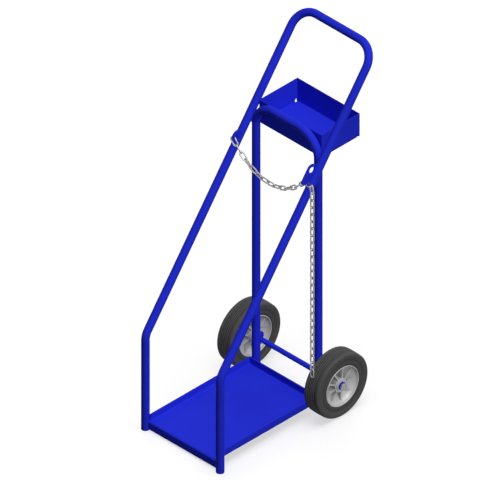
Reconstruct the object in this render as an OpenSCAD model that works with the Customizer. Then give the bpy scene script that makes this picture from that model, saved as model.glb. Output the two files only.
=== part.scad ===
// Double cylinder cart: a bent tube frame with a lipped deck for two gas cylinders, a tool tray
// behind the back frame, two wheels on a fixed axle, and a retaining chain with a hanging tail.
// X runs across the cart, Y from the open front to the handle, Z up. Z = 0 is the ground, and the
// origin is under the middle of the bounding box. All sizes are millimetres, angles are degrees.

/* [Handle frame] */
// Outside diameter of both bent tubes
tube_d = 25.4; // [22:0.1:28]
// Wall of both bent tubes
tube_wall = 2; // [1.2:0.1:3]
// Distance between the centres of the two front legs
leg_spacing = 304.8; // [280:0.1:330]
// Height where the legs start to lean back
bend_h = 330; // [300:1:360]
// Lean of the handle sides from upright
lean = 36.7; // [34:0.1:39]
// Bend radius of the legs, on the tube's centre line
leg_bend_r = 50.8; // [40:0.1:70]
// Height of the handle bar's centre line
handle_h = 1180; // [1100:1:1260]
// Corner radius of the handle, on the tube's centre line
handle_bend_r = 63.5; // [50:0.1:90]

/* [Back frame] */
// Height of the back frame's top bar, on its centre line
back_h = 956; // [930:1:985]
// Corner radius of the back frame, on the tube's centre line
back_bend_r = 76.2; // [60:0.1:90]

/* [Deck] */
// Length of the deck, from the leg centres to the outside of its rear lip
deck_len = 413; // [390:1:430]
// Height of the deck's underside above the ground
deck_h = 30.4; // [25:0.1:40]
// Thickness of the deck's sheet
deck_t = 3; // [2:0.1:4]
// Height of the side and rear lips, from the deck's underside
deck_lip = 25.4; // [20:0.1:40]
// Gap between the front flange and the ground
flange_clear = 6; // [3:0.5:10]
// Inside bend radius of the deck's folds
deck_fold_r = 3; // [2:0.1:5]

/* [Tool tray] */
// Outside width of the tray
tray_w = 254; // [220:0.5:260]
// Outside length of the tray, front to back
tray_len = 156; // [130:1:170]
// Height of the tray's walls
tray_h = 81; // [60:1:95]
// Thickness of the tray's sheet
tray_t = 2; // [1.5:0.1:3]
// Inside bend radius of the tray's folds
tray_fold_r = 2; // [1:0.1:3]
// Radius of the relief notches in the side walls' lower corners
relief_r = 8; // [5:0.5:14]

/* [Wheels] */
// Diameter of the tyres
tyre_d = 209.6; // [200:0.1:216]
// Width of the tyres
tyre_w = 57.2; // [50:0.1:60]
// Distance between the centres of the two tyres
track = 355.6; // [350:0.1:370]
// Outside diameter of the rims
rim_d = 132; // [120:0.5:145]
// Wall of the rims
rim_wall = 3.4; // [2.5:0.1:5]
// Diameter of the hub bosses
boss_d = 46; // [40:0.5:52]
// Number of ribs on each face of a hub
rib_count = 8; // [5:1:10]
// Thickness of the ribs
rib_t = 4; // [3:0.1:6]
// Diameter of the axle
axle_d = 15.9; // [14:0.1:18]
// Wall of the plain bearings
bush_wall = 3; // [2:0.1:4]

/* [Chain] */
// Wire diameter of the chain
wire_d = 4.6; // [4:0.1:5]
// Pitch of the chain, which is a link's inside length
pitch = 25.2; // [23.5:0.1:27]
// Outside width of a link
link_w = 16.6; // [16.2:0.1:17.4]
// Length of the hanging span, as a multiple of the distance that it crosses
slack = 1.2; // [1.12:0.01:1.3]
// Least clearance that the chain's loose tail keeps above the tyre
tail_clear = 1.2; // [0.8:0.1:3]

/* [Chain brackets] */
// Thickness of the two bracket plates
plate_t = 4; // [3:0.1:4.8]
// Height of the chain hook's eye along the tube, from the bend of the leg
hook_eye_run = 664; // [640:1:680]
// Distance from the eye down to the chain's slot, along the tube
hook_drop = 44; // [40:0.5:52]
// Diameter of the chain hook's eye
eye_d = 20.4; // [14:0.1:24]
// Radius of the rounded noses of both plates
nose_r = 18.8; // [17:0.1:22]
// Distance of the hook plate's eye from the tube's centre line
hook_nose_out = 30.3; // [28:0.1:34]
// Distance of the lug's nose from the tube's centre line
lug_nose_out = 20.5; // [18:0.1:24]
// Height of the chain lug's centre along the tube, from the bend of the leg
lug_run = 640; // [620:1:665]
// Diameter of the hole in the chain lug
lug_hole_d = 15; // [14:0.1:17]
// Web between that hole and the lug's lower edge
lug_web = 3.4; // [3:0.1:3.8]

/* [Hidden] */
$fn = 64;

blue = [0.13, 0.17, 0.75];
grey = [0.62, 0.63, 0.65];
rubber = [0.22, 0.22, 0.22];
zinc = [0.72, 0.72, 0.70];

// Gap where welded pieces seat on each other
seat = 0.3;
// Radial clearance of the turning bearings on the axle
run_clear = 0.05;
// Radial clearance of pressed and bonded rings
press_clear = 0.1;
// Side play of the wheels on the axle
side_play = 0.5;
// Length by which cutting shapes pass through a face
over = 1;

// Frame lines
tube_r = tube_d / 2;
leg_x = leg_spacing / 2;
handle_back = (handle_h - bend_h) * tan(lean);
front_y = -handle_back / 2;
side_len = (handle_h - bend_h) / cos(lean);
leg_bend_len = leg_bend_r * tan(lean / 2);
back_x = leg_x - tube_d - seat;
deck_rear_y = front_y + deck_len;
back_y = deck_rear_y + seat + tube_r;
back_foot = deck_h;
// Thinning of the tube wall at each face of the leg bends, and their run into the straights
leg_draw = 0.2;
leg_lap = 1.5;

// Deck
deck_w = leg_spacing - tube_d - 2 * seat;
deck_fold = deck_fold_r + deck_t;
flange_y = front_y - deck_t / 2;

// Tray
tray_front_y = back_y + tube_r + seat;
tray_z = back_h - tray_h;
tray_fold = tray_fold_r + tray_t;

// Axle line and what sits on it
axle_r = axle_d / 2;
axle_y = back_y + tube_r + seat + axle_r;
axle_z = tyre_d / 2;
wheel_x = track / 2;
washer_t = 2;
washer_rim = 6;
washer_r = axle_r + washer_rim;
collar_t = 5.2;
collar_rim = 4.75;
collar_r = axle_r + collar_rim;
cap_t = 5.3;
cap_rim = 4.55;
cap_r = axle_r + cap_rim;
cap_round = 1.4;
boss_set = 5.4;
boss_in_x = leg_x - tube_r + seat + washer_t + side_play;
boss_out_x = wheel_x + tyre_w / 2 - boss_set;
collar_x = boss_out_x + side_play;
cap_x = collar_x + collar_t + seat;
axle_half = cap_x + cap_t - cap_round - seat;

// Hub
rim_r = rim_d / 2;
rim_set = 0.3;
rim_half = tyre_w / 2 - rim_set;
rim_in_r = rim_r - rim_wall;
lip_r = 1.9;
boss_r = boss_d / 2;
boss_step = 2.4;
boss_shoulder = 5;
boss_step_r = boss_r - boss_shoulder;
web_t = 4;
dish_depth = 19;
web_mid = rim_half - dish_depth - web_t / 2;
hub_bore_r = axle_r + run_clear + bush_wall;
rib_tip_set = 7.5;
rib_tip_r = rim_in_r - rib_tip_set;
rib_tip_h = 1.5;
rib_root_in = 3;
rib_root_set = 2;

// Tyre
shoulder_r = 13;
wall_step_r = 85;
wall_step = 1.3;
groove_w = 1.8;
groove_depth = 1.8;
groove_count = 5;
groove_pitch = 6.6;

// Axle gusset
gusset_t = 6;
gusset_h = 19;
gusset_len = 15;
gusset_nose = 7;

// Bracket plates
lug_in = 7;
slot_clear = 0.5;
jaw_t = 6;
jaw_len = 5;
hook_lip = 6;
hook_foot_r = 10;

// Chain: a link's bend radius and half straight, on the wire's centre line, and the spacing of
// the joints where neighbouring links cross
wire_r = wire_d / 2;
bend_r = (link_w - wire_d) / 2;
link_half = (pitch + wire_d) / 2;
straight_half = link_half - bend_r;
chain_gap = 0.3;
step = pitch - chain_gap;
link_turn = 90;

// Place of a point on a side tube: run along the tube from the leg's bend, out from its centre
// line towards the front
function tube_point(run, out) = [
    front_y + run * sin(lean) - out * cos(lean),
    bend_h + run * cos(lean) + out * sin(lean)
];

// Left lug: the anchor link goes through the hole and round the web below it
lug_x = lug_in - leg_x;
lug_low = lug_run - nose_r;
lug_hole_run = lug_low + lug_web + lug_hole_d / 2;
anchor_run = lug_low + lug_web / 2;
anchor_fall = 48;
anchor_roll = -atan2(sin(lean), cos(lean) * cos(anchor_fall));
anchor_dir = [cos(anchor_fall), 0, -sin(anchor_fall)];
anchor_at = tube_point(anchor_run, lug_nose_out);
anchor_shift = 0.4;
anchor_mid = [lug_x, anchor_at[0], anchor_at[1]] + anchor_dir * anchor_shift;
span_start = anchor_mid + anchor_dir * step / 2;

// Right hook: the hook link lies flat in the slot, and its neighbours turn round its two tips
hook_out = tube_r + wire_r + chain_gap + (link_w - wire_d) / 2 * cos(lean);
hook_at = tube_point(hook_eye_run - hook_drop, hook_out);
hook_shift = 2.8;
hook_mid = [leg_x + hook_shift, hook_at[0], hook_at[1]];
hook_rise = 48;
turn_play = 0.3;
joint_half = (wire_d + chain_gap) / 2;
span_end = hook_mid + [-link_half, 0, 0]
    + (joint_half + turn_play) * [cos(hook_rise), 0, sin(hook_rise)];
hook_tip = hook_mid + [link_half, 0, 0];

// Hanging span: joints at equal steps along a catenary between the two end joints
span_dx = span_end[0] - span_start[0];
span_dy = span_end[1] - span_start[1];
span_dz = span_end[2] - span_start[2];
span_count = round(slack * span_dx / step);
span_len = span_count * step;
function sinh(v) = (exp(v) - exp(-v)) / 2;
function asinh(v) = ln(v + sqrt(v * v + 1));
function sag_root(ratio, low, high, n) = let (mid = (low + high) / 2)
    n == 0 ? mid
    : sinh(mid) / mid < ratio ? sag_root(ratio, mid, high, n - 1)
    : sag_root(ratio, low, mid, n - 1);
sag_low = 0.01;
sag_high = 6;
sag_rounds = 40;
span_u = sag_root(sqrt(span_len ^ 2 - span_dz ^ 2) / span_dx, sag_low, sag_high, sag_rounds);
sag_a = span_dx / (2 * span_u);
sag_x = (span_start[0] + span_end[0]) / 2 - sag_a * asinh(span_dz / (2 * sag_a * sinh(span_u)));
sag_s = sag_a * sinh((span_start[0] - sag_x) / sag_a);
function span_joint(i) = let (
        s = sag_s + i * step,
        x = sag_x + sag_a * asinh(s / sag_a),
        z = span_start[2] + sqrt(sag_a ^ 2 + s ^ 2) - sqrt(sag_a ^ 2 + sag_s ^ 2)
    ) [x, span_start[1] + span_dy * (x - span_start[0]) / span_dx, z];
// Roll of the links about the chain: each is a quarter turn on from the last, and the first few
// also turn back from the anchor link's roll to the level hook link's
twist_links = 4;
roll_left = anchor_roll + link_turn * span_count;
span_twist = 2 * link_turn * round(roll_left / (2 * link_turn)) - roll_left;
function span_roll(i) = anchor_roll + link_turn * (i + 1) + span_twist * min(1, (i + 1) / twist_links);

// Tail: its first link turns round the hook link's tip and leans out over the tube's side, and the
// rest hangs straight down, as far as the tyre lets it
tail_x = leg_x + tube_r + link_w / 2 + chain_gap;
turn_step = 2 * (straight_half + bend_r - wire_d - chain_gap);
tail_top = [tail_x, hook_tip[1], hook_tip[2] - sqrt(turn_step ^ 2 - (tail_x - hook_tip[0]) ^ 2)];
tail_reach = tyre_d / 2 + tail_clear + link_w / 2;
tail_low = axle_z + sqrt(max(0, tail_reach ^ 2 - (axle_y - hook_tip[1]) ^ 2));
tail_count = 1 + floor((tail_top[2] - 2 * joint_half + bend_r - tail_low) / step);
function tail_joint(i) = tail_top - [0, 0, joint_half + i * step];

// Tube run, one piece after another: each piece carries the next at its end
module tube_section(draw) {
    difference() {
        circle(r = tube_r - draw);
        circle(r = tube_r - tube_wall + draw);
    }
}

module straight(length) {
    linear_extrude(height = length) tube_section(0);
    translate([0, 0, length]) children();
}

module bend(radius, turn, toward, draw, run_on) {
    lap = atan(run_on / radius);
    rotate([0, 0, toward]) {
        translate([radius, 0, 0]) rotate([90, 0, 180])
            rotate_extrude(angle = turn + 2 * lap, start = -lap) translate([radius, 0])
                tube_section(draw);
        translate([radius * (1 - cos(turn)), 0, radius * sin(turn)]) rotate([0, turn, 0]) children();
    }
}

module handle_frame() {
    leg_run = bend_h - leg_bend_len;
    side_run = side_len - leg_bend_len - handle_bend_r;
    color(blue)
        translate([-leg_x, front_y, 0])
            straight(leg_run)
                bend(leg_bend_r, lean, 90, leg_draw, leg_lap)
                    straight(side_run)
                        bend(handle_bend_r, 90, -90, 0, 0)
                            straight(leg_spacing - 2 * handle_bend_r)
                                bend(handle_bend_r, 90, 0, 0, 0)
                                    straight(side_run)
                                        bend(leg_bend_r, lean, 90, leg_draw, leg_lap)
                                            straight(leg_run);
}

module back_frame() {
    upright_run = back_h - back_foot - back_bend_r;
    color(blue)
        translate([-back_x, back_y, back_foot])
            straight(upright_run)
                bend(back_bend_r, 90, 0, 0, 0)
                    straight(2 * (back_x - back_bend_r))
                        bend(back_bend_r, 90, 0, 0, 0)
                            straight(upright_run);
}

// Section of a box with rounded lower corners, standing on its bottom edge
module round_bottom(width, height, radius) {
    for (side = [-1, 1]) translate([side * (width / 2 - radius), radius]) circle(r = radius);
    translate([-width / 2, radius]) square([width, height - radius]);
    translate([-width / 2 + radius, 0]) square([width - 2 * radius, height]);
}

// Box with rounded lower edges, its bottom at Z = 0 and its near end at Y = 0
module round_box(width, length, height, radius) {
    intersection() {
        translate([0, length, 0]) rotate([90, 0, 0])
            linear_extrude(height = length) round_bottom(width, height, radius);
        translate([-width / 2, length / 2, 0]) rotate([90, 0, 90])
            linear_extrude(height = width) round_bottom(length, height, radius);
    }
}

// Pan of folded sheet with walls of one height and closed corners
module pan(width, length, height, sheet, fold_r) {
    difference() {
        round_box(width, length, height, fold_r + sheet);
        translate([0, sheet, sheet])
            round_box(width - 2 * sheet, length - 2 * sheet, height, fold_r);
    }
}

// Deck: a pan with its front wall cut off, and a front flange folded down between the legs
module platform() {
    flange_h = deck_h + deck_t - flange_clear;
    color(blue) translate([0, flange_y + deck_fold, deck_h]) {
        difference() {
            translate([0, deck_t / 2 - 2 * deck_fold, 0])
                pan(deck_w, deck_len + deck_fold, deck_lip, deck_t, deck_fold_r);
            translate([-deck_w, 0, -over]) mirror([0, 1, 0])
                cube([2 * deck_w, deck_len, deck_lip + 2 * over]);
        }
        translate([-deck_w / 2, 0, deck_t - deck_fold])
            rotate([90, 0, 90]) linear_extrude(height = deck_w) {
                intersection() {
                    difference() {
                        circle(r = deck_fold);
                        circle(r = deck_fold_r);
                    }
                    translate([-deck_fold, 0]) square([deck_fold, deck_fold]);
                }
                translate([-deck_fold, deck_fold - flange_h]) square([deck_t, flange_h - deck_fold]);
            }
    }
}

// Tray: a closed pan with a notch where the folds meet at each end of its side walls
module tool_tray() {
    color(blue) difference() {
        translate([0, tray_front_y, tray_z]) pan(tray_w, tray_len, tray_h, tray_t, tray_fold_r);
        for (side = [-1, 1], end = [-1, 1])
            translate([side * (tray_w / 2 + over) - (side > 0 ? tray_fold + over : 0),
                tray_front_y + tray_len / 2 + end * (tray_len / 2 - tray_fold), tray_z + tray_fold])
                rotate([90, 0, 90]) linear_extrude(height = tray_fold + over)
                    mirror([end > 0 ? 1 : 0, 0]) {
                        intersection() {
                            circle(r = relief_r);
                            square([relief_r, relief_r]);
                        }
                        translate([0, -tray_fold - over]) square([relief_r, tray_fold + over]);
                    }
    }
}

// Lies a piece that was made along Z on the axle line, pointing out to one side
module on_axle(side, x) {
    translate([side * x, axle_y, axle_z]) rotate([0, side * 90, 0]) children();
}

module ring(outer, inner, length) {
    difference() {
        cylinder(r = outer, h = length);
        translate([0, 0, -over]) cylinder(r = inner, h = length + 2 * over);
    }
}

module axle() {
    color(blue) on_axle(1, -axle_half) cylinder(r = axle_r, h = 2 * axle_half);
}

// Gusset on top of the axle against the back of an upright, with a rounded outer corner
module axle_gusset(side) {
    color(blue) translate([side * back_x - gusset_t / 2, back_y + tube_r + seat, axle_z + axle_r + seat])
        rotate([90, 0, 90]) linear_extrude(height = gusset_t) {
            square([gusset_len - gusset_nose, gusset_h]);
            square([gusset_len, gusset_h - gusset_nose]);
            translate([gusset_len - gusset_nose, gusset_h - gusset_nose]) circle(r = gusset_nose);
        }
}

// Wheel pieces, made along Z with the outer face up and the tyre's middle at Z = 0
module tyre_shape() {
    rotate_extrude() difference() {
        union() {
            translate([rim_r + press_clear, -tyre_w / 2])
                square([tyre_d / 2 - shoulder_r - rim_r - press_clear, tyre_w]);
            translate([rim_r + press_clear, -tyre_w / 2 + shoulder_r])
                square([tyre_d / 2 - rim_r - press_clear, tyre_w - 2 * shoulder_r]);
            for (side = [-1, 1]) translate([tyre_d / 2 - shoulder_r, side * (tyre_w / 2 - shoulder_r)])
                circle(r = shoulder_r);
        }
        for (i = [0 : groove_count - 1])
            translate([tyre_d / 2 - groove_depth,
                (i - (groove_count - 1) / 2) * groove_pitch - groove_w / 2])
                square([groove_depth + over, groove_w]);
        for (side = [-1, 1])
            translate([rim_r - over, side > 0 ? tyre_w / 2 - wall_step : -tyre_w / 2 - over])
                square([wall_step_r - rim_r + over, wall_step + over]);
    }
}

// Section of one rib: from inside the boss, down the web's face to the tip near the rim
module rib_section(face, top) {
    polygon([
        [(hub_bore_r + boss_r) / 2, web_mid], [rib_tip_r, web_mid],
        [rib_tip_r, web_mid + face * (web_t / 2 + rib_tip_h)],
        [boss_r - rib_root_in, top], [(hub_bore_r + boss_r) / 2, top]
    ]);
}

// Hub: rim, dished web, stepped boss and ribs on both faces
module hub_shape(boss_in, boss_out) {
    difference() {
        union() {
            rotate_extrude() {
                translate([rim_in_r, -rim_half]) square([rim_wall, 2 * rim_half]);
                for (side = [-1, 1])
                    translate([rim_in_r, side * (rim_half - lip_r)]) circle(r = lip_r);
                translate([hub_bore_r, web_mid - web_t / 2])
                    square([rim_r - rim_wall / 2 - hub_bore_r, web_t]);
                translate([hub_bore_r, -boss_in])
                    square([boss_r - hub_bore_r, boss_in + boss_out - boss_step]);
                translate([hub_bore_r, 0]) square([boss_step_r - hub_bore_r, boss_out]);
            }
            for (i = [0 : rib_count - 1]) rotate([0, 0, i * 360 / rib_count]) rotate([90, 0, 0])
                translate([0, 0, -rib_t / 2]) linear_extrude(height = rib_t) {
                    rib_section(1, boss_out - boss_step - rib_root_set);
                    rib_section(-1, rib_root_set - rim_half);
                }
        }
        translate([0, 0, -boss_in - over]) cylinder(r = hub_bore_r, h = boss_in + boss_out + 2 * over);
    }
}

module tyre(side) {
    color(rubber) on_axle(side, wheel_x) tyre_shape();
}

module hub(side) {
    color(grey) on_axle(side, wheel_x) hub_shape(wheel_x - boss_in_x, boss_out_x - wheel_x);
}

module bush(side) {
    color(zinc) on_axle(side, boss_in_x)
        ring(hub_bore_r - press_clear, axle_r + run_clear, boss_out_x - boss_in_x);
}

module washer(side) {
    color(zinc) on_axle(side, boss_in_x - side_play - washer_t)
        ring(washer_r, axle_r + press_clear, washer_t);
}

module collar(side) {
    color(blue) on_axle(side, collar_x) ring(collar_r, axle_r + press_clear, collar_t);
}

// Push-on cap over the end of the axle, with a rounded outer edge
module axle_cap(side) {
    color(grey) on_axle(side, cap_x) difference() {
        rotate_extrude() {
            square([cap_r, cap_t - cap_round]);
            square([cap_r - cap_round, cap_t]);
            translate([cap_r - cap_round, cap_t - cap_round]) circle(r = cap_round);
        }
        translate([0, 0, -over])
            cylinder(r = axle_r + press_clear, h = cap_t - cap_round + over);
    }
}

// Lies a section in the plane of a bracket plate: X is in towards the tube, Y is up along it
module bracket_plate(x, side) {
    difference() {
        translate([x - plate_t / 2, front_y, bend_h]) rotate([-lean, 0, 0])
            rotate([90, 0, 90]) linear_extrude(height = plate_t) children();
        side_tube_cut(side);
    }
}

module side_tube_cut(side) {
    translate([side * leg_x, front_y, bend_h]) rotate([-lean, 0, 0])
        cylinder(r = tube_r + seat, h = side_len);
}

// Lug with a round nose and a hole for the chain's first link
module left_chain_lug() {
    color(blue) bracket_plate(lug_x, -1) difference() {
        union() {
            translate([-lug_nose_out, lug_run]) circle(r = nose_r);
            translate([-lug_nose_out, lug_run - nose_r]) square([lug_nose_out, 2 * nose_r]);
        }
        translate([-lug_nose_out, lug_hole_run]) circle(d = lug_hole_d);
    }
}

// Hook plate with an eye above and an open level slot below, which takes a link lying flat
module right_chain_hook() {
    slot_h = wire_d + 2 * slot_clear;
    slot_rear = link_w / 2 + slot_clear;
    front = hook_nose_out + nose_r;
    hook_run = hook_eye_run - hook_drop;
    low = hook_run - hook_lip;
    color(blue) bracket_plate(leg_x, 1) difference() {
        union() {
            translate([-hook_nose_out, hook_eye_run]) circle(r = nose_r);
            translate([-hook_nose_out, hook_eye_run]) square([hook_nose_out, nose_r]);
            translate([-front + hook_foot_r, low]) square([front - hook_foot_r, hook_eye_run - low]);
            translate([-front, low + hook_foot_r]) square([front, hook_eye_run - low - hook_foot_r]);
            translate([-front + hook_foot_r, low + hook_foot_r]) circle(r = hook_foot_r);
            translate([-hook_out, hook_run]) rotate(lean)
                translate([-jaw_len, -slot_h / 2 - jaw_t]) square([jaw_len + tube_r, slot_h + jaw_t]);
        }
        translate([-hook_nose_out, hook_eye_run]) circle(d = eye_d);
        translate([-hook_out, hook_run]) rotate(lean)
            translate([-front, -slot_h / 2]) square([front + slot_rear, slot_h]);
        translate([-hook_out, hook_run]) rotate(lean)
            translate([-front - jaw_len, -slot_h / 2 - front]) square([front, front]);
    }
}

// One link of bent wire, along X, with its width along Z
module link() {
    for (end = [-1, 1]) {
        translate([0, 0, end * bend_r]) rotate([0, 90, 0])
            cylinder(r = wire_r, h = 2 * straight_half, center = true);
        translate([end * straight_half, 0, 0]) rotate([90, 0, 0])
            rotate_extrude(angle = 180, start = end > 0 ? -90 : 90)
                translate([bend_r, 0]) circle(r = wire_r);
    }
}

// A link between two joints of the span, rolled about its own length
module span_link(from, to, roll) {
    d = to - from;
    translate((from + to) / 2) rotate([0, -atan2(d[2], norm([d[0], d[1]])), atan2(d[1], d[0])])
        rotate([roll, 0, 0]) link();
}

// A link between two joints of the tail: it hangs down, and may lean to one side
module tail_link(from, to, roll) {
    d = to - from;
    translate((from + to) / 2) rotate([0, atan2(d[0], d[2]) - 180, 0]) rotate([0, 0, roll])
        rotate([0, 90, 0]) link();
}

module chain_anchor_link() {
    color(zinc) span_link(anchor_mid - anchor_dir, anchor_mid + anchor_dir, anchor_roll);
}

module chain_span() {
    color(zinc) for (i = [0 : span_count - 1])
        span_link(span_joint(i), span_joint(i + 1), span_roll(i));
}

module chain_hook_link() {
    color(zinc) span_link(hook_mid - [step / 2, 0, 0], hook_mid + [step / 2, 0, 0], 90);
}

module chain_tail() {
    color(zinc) {
        tail_link(hook_tip, tail_top, 0);
        for (i = [1 : tail_count - 1]) tail_link(tail_joint(i - 1), tail_joint(i), link_turn * i);
    }
}

handle_frame();
back_frame();
platform();
tool_tray();
axle();
axle_gusset(-1);  // left_axle_gusset
axle_gusset(1);  // right_axle_gusset
left_chain_lug();
right_chain_hook();
chain_anchor_link();
chain_span();
chain_hook_link();
chain_tail();
tyre(-1);  // left_tyre
hub(-1);  // left_hub
bush(-1);  // left_bush
washer(-1);  // left_washer
collar(-1);  // left_collar
axle_cap(-1);  // left_axle_cap
tyre(1);  // right_tyre
hub(1);  // right_hub
bush(1);  // right_bush
washer(1);  // right_washer
collar(1);  // right_collar
axle_cap(1);  // right_axle_cap
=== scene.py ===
"""Dresses a double cylinder cart: blue enamelled tube frame, deck and tray, two wheels and a chain."""

import logging
import math
from dataclasses import dataclass, field
from enum import Enum

import bmesh
import bpy
import numpy as np
from mathutils import Matrix, Vector


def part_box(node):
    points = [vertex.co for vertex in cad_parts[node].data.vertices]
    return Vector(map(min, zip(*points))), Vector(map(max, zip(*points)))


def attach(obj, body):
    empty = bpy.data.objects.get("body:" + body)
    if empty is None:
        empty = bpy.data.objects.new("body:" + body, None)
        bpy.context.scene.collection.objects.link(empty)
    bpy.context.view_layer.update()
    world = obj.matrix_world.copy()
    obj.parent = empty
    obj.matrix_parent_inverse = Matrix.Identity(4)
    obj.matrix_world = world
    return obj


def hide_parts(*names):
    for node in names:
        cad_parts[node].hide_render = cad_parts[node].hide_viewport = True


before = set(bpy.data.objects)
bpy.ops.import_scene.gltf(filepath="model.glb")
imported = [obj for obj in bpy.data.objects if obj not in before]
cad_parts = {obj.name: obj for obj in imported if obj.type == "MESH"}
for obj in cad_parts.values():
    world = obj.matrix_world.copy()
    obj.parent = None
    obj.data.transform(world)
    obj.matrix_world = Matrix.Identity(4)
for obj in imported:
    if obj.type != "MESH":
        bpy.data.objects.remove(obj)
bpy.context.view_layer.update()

LOG = logging.getLogger("cart")
MM = 0.001
# Corners of a solid that lie closer than this are one corner.
MERGE = 0.001 * MM
# Nearly all values of a noise lie here.
NOISE_SPAN = (0.3, 0.7)

Colour = tuple[float, float, float]
Point = tuple[float, float, float]
Span = tuple[float, float]
Outline = list[tuple[float, float]]
Material = bpy.types.Material
Socket = bpy.types.NodeSocket


class Side(Enum):
    """The cart's two sides, as the names of their pieces begin."""

    LEFT = "left"
    RIGHT = "right"

    @property
    def sign(self) -> int:
        """Direction of the side along X."""
        return 1 if self is Side.RIGHT else -1


class Body(Enum):
    """The rigid bodies that a piece can ride on."""

    FRAME = "frame"
    LEFT_WHEEL = "left_wheel"
    RIGHT_WHEEL = "right_wheel"
    SPAN = "span"
    TAIL = "tail"


class Slot(Enum):
    """The record's material slots, which new pieces name but do not take their finish from."""

    PAINT = "blue_paint"
    STEEL = "chain_steel"
    RUBBER = "tyre_rubber"
    HUB = "hub_metal"


class Nodes:
    """A node tree in the making."""

    def __init__(self, tree: bpy.types.NodeTree) -> None:
        """Starts on a tree."""
        self.tree = tree

    def add(self, kind: str, links: dict[str | int, object] | None = None,
            **values: object) -> bpy.types.Node:
        """Adds a node.

        Args:
            kind: The node's type name.
            links: Inputs by name or number, each a socket to link or a plain value.
            **values: Properties of the node.

        Returns:
            The node.
        """
        node = self.tree.nodes.new(kind)
        for key, value in values.items():
            setattr(node, key, value)
        for key, value in (links or {}).items():
            if isinstance(value, Socket):
                self.link(value, node.inputs[key])
            else:
                node.inputs[key].default_value = value
        return node

    def link(self, source: Socket, target: Socket) -> None:
        """Links two sockets."""
        self.tree.links.new(source, target)

    def math(self, operation: str, first: object, second: object = 0.0) -> Socket:
        """One sum on two values.

        Args:
            operation: The Math node's operation.
            first: A socket or a number.
            second: A socket or a number.

        Returns:
            The result.
        """
        return self.add("ShaderNodeMath", {0: first, 1: second}, operation=operation).outputs[0]


class Shader(Nodes):
    """A node material in the making, with the object's own coordinates at hand."""

    def __init__(self, name: str, roughness: float, metallic: float, specular: float) -> None:
        """Starts a material.

        Args:
            name: The material's name.
            roughness: Roughness where nothing is linked.
            metallic: 1 for bare metal and 0 for paint or rubber.
            specular: Level of the plain reflection.
        """
        self.material = bpy.data.materials.new(name)
        self.material.use_nodes = True
        super().__init__(self.material.node_tree)
        self.surface = self.tree.nodes["Principled BSDF"]
        self.surface.inputs["Roughness"].default_value = roughness
        self.surface.inputs["Metallic"].default_value = metallic
        self.surface.inputs["Specular IOR Level"].default_value = specular
        self.place = self.add("ShaderNodeTexCoord").outputs["Object"]

    def placed(self, centre: Point, scale: Point = (1, 1, 1)) -> Socket:
        """Object coordinates measured from a centre.

        Args:
            centre: The place that becomes zero.
            scale: Stretch along each axis.

        Returns:
            The vector socket.
        """
        return self.add("ShaderNodeMapping", {
            "Vector": self.place, "Location": [-c * s for c, s in zip(centre, scale)],
            "Scale": scale}).outputs["Vector"]

    def noise(self, scale: float, detail: float, distortion: float = 0.0) -> Socket:
        """Grain that fills space, on the object's own coordinates.

        Args:
            scale: Cells per metre.
            detail: Octaves.
            distortion: Swirl of the grain.

        Returns:
            The factor socket.
        """
        return self.add("ShaderNodeTexNoise", {
            "Vector": self.place, "Scale": scale, "Detail": detail,
            "Distortion": distortion}).outputs["Fac"]

    def ranged(self, value: Socket, span: Span, to: Span = (0.0, 1.0)) -> Socket:
        """Maps one range of a value to another.

        Args:
            value: The value's socket.
            span: The range that it starts from.
            to: What the two ends of that range become.

        Returns:
            The mapped socket.
        """
        return self.add("ShaderNodeMapRange", {
            "Value": value, "From Min": span[0], "From Max": span[1],
            "To Min": to[0], "To Max": to[1]}).outputs["Result"]

    def mixed(self, factor: Socket, first: Colour | Socket, second: Colour) -> Socket:
        """Mixes two colours.

        Args:
            factor: Share of the second.
            first: A colour or a colour socket.
            second: A colour.

        Returns:
            The colour socket.
        """
        under = first if isinstance(first, Socket) else (*first, 1)
        return self.add("ShaderNodeMix", {
            "Factor": factor, "A": under, "B": (*second, 1)}, data_type="RGBA").outputs["Result"]

    def feed(self, name: str, source: Socket) -> None:
        """Links a socket to an input of the surface."""
        self.link(source, self.surface.inputs[name])

    def haze(self, scale: float, roughness: Span) -> None:
        """Lets the roughness wander between two levels.

        Args:
            scale: Cells of the haze per metre.
            roughness: The two levels.
        """
        wander = self.noise(scale, detail=4.0)
        self.feed("Roughness", self.ranged(wander, NOISE_SPAN, roughness))

    def emboss(self, height: Socket, share: float, depth: float) -> None:
        """Adds relief to the surface.

        Args:
            height: The height's socket.
            share: Share of the relief that shows.
            depth: Height of the relief in metres.
        """
        bump = self.add("ShaderNodeBump", {"Strength": share, "Distance": depth, "Height": height})
        self.feed("Normal", bump.outputs["Normal"])


@dataclass(frozen=True)
class Enamel:
    """Smooth enamel sprayed on steel, with faint orange peel and a cloudy gloss."""

    name: str = "royal_blue_enamel"
    colour: Colour = (0.0175, 0.0280, 0.60)
    shade: Colour = (0.0163, 0.0258, 0.57)
    cloud_per_m: float = 7.0
    cloud_span: Span = (0.4, 0.7)
    gloss: float = 0.006
    roughness: Span = (0.38, 0.50)
    haze_per_m: float = 45.0
    peel_per_m: float = 620.0
    peel_share: float = 0.35
    peel_depth: float = 0.05 * MM

    def material(self) -> Material:
        """Builds the node material.

        Returns:
            The enamel.
        """
        shader = Shader(self.name, self.roughness[0], 0.0, self.gloss)
        cloud = shader.ranged(shader.noise(self.cloud_per_m, detail=3.0), self.cloud_span)
        shader.feed("Base Color", shader.mixed(cloud, self.colour, self.shade))
        shader.haze(self.haze_per_m, self.roughness)
        shader.emboss(shader.noise(self.peel_per_m, detail=2.0), self.peel_share, self.peel_depth)
        return shader.material


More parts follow.
